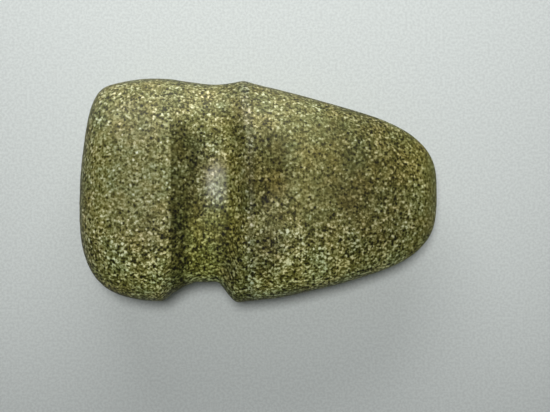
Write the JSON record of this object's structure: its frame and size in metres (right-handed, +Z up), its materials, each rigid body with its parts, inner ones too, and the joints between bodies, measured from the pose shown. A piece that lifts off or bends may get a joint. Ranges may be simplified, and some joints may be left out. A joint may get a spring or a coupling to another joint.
{
  "type": "polished stone axe head",
  "caption": "Grooved stone axe head, pecked and ground from speckled greenish rock, with a deep haft notch in one edge and a tapering polished blade.",
  "frame": {"origin": "on the ground, under the middle of the axe head's bounding box as it lies on one face", "axes": "+X from the poll to the cutting edge, +Y to the edge with the shallow groove, +Z up through the thickness"},
  "size_m": [0.147, 0.092, 0.0539],
  "materials": {
    "stone": "ground and polished, speckled"
  },
  "bodies": {
    "root": {"axe_head": "stone"}
  },
  "joints": []
}
